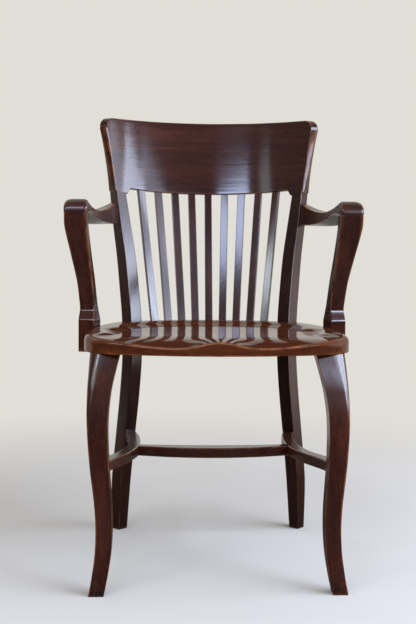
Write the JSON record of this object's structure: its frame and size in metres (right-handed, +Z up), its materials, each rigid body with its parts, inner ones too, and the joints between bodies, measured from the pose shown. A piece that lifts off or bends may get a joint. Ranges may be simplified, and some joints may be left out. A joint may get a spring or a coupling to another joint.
{
  "type": "captain's chair",
  "caption": "Polished wooden captain's chair with a saddle seat, open arms on shaped supports, a curved crest rail over slats, and bowed stretchers.",
  "frame": {"origin": "bottom centre of the bounding box, on the floor plane, midway between the chair's sides", "axes": "+Z up from the floor, -Y towards the front of the chair, +X towards the sitter's left-hand side"},
  "size_m": [0.596, 0.655, 0.899],
  "materials": {
    "mahogany": "dark reddish-brown mahogany under a high-gloss French polish",
    "plug_wood": "mahogany end plugs, polished with the chair",
    "dowel_wood": "bare pale beech",
    "screw_steel": "plain steel, dull"
  },
  "bodies": {
    "root": {"seat": "mahogany", "crest_rail": "mahogany", "back_slat_1": "mahogany", "back_slat_2": "mahogany", "back_slat_3": "mahogany", "back_slat_4": "mahogany", "back_slat_5": "mahogany", "back_slat_6": "mahogany", "back_slat_7": "mahogany", "back_slat_8": "mahogany", "back_slat_9": "mahogany", "front_leg_left": "mahogany", "front_leg_right": "mahogany", "back_post_left": "mahogany", "back_post_right": "mahogany", "side_stretcher_left": "mahogany", "side_stretcher_right": "mahogany", "cross_stretcher": "mahogany", "arm_left": "mahogany", "arm_right": "mahogany", "arm_support_left": "mahogany", "arm_support_right": "mahogany", "arm_dowel_left": "dowel_wood", "arm_dowel_right": "dowel_wood", "post_screw_left": "screw_steel", "post_screw_right": "screw_steel", "post_plug_left": "plug_wood", "post_plug_right": "plug_wood", "arm_screw_left": "screw_steel", "arm_screw_right": "screw_steel", "arm_plug_left": "plug_wood", "arm_plug_right": "plug_wood", "support_front_screw_left": "screw_steel", "support_front_screw_right": "screw_steel", "support_front_plug_left": "plug_wood", "support_front_plug_right": "plug_wood", "support_rear_screw_left": "screw_steel", "support_rear_screw_right": "screw_steel", "support_rear_plug_left": "plug_wood", "support_rear_plug_right": "plug_wood"}
  },
  "joints": []
}
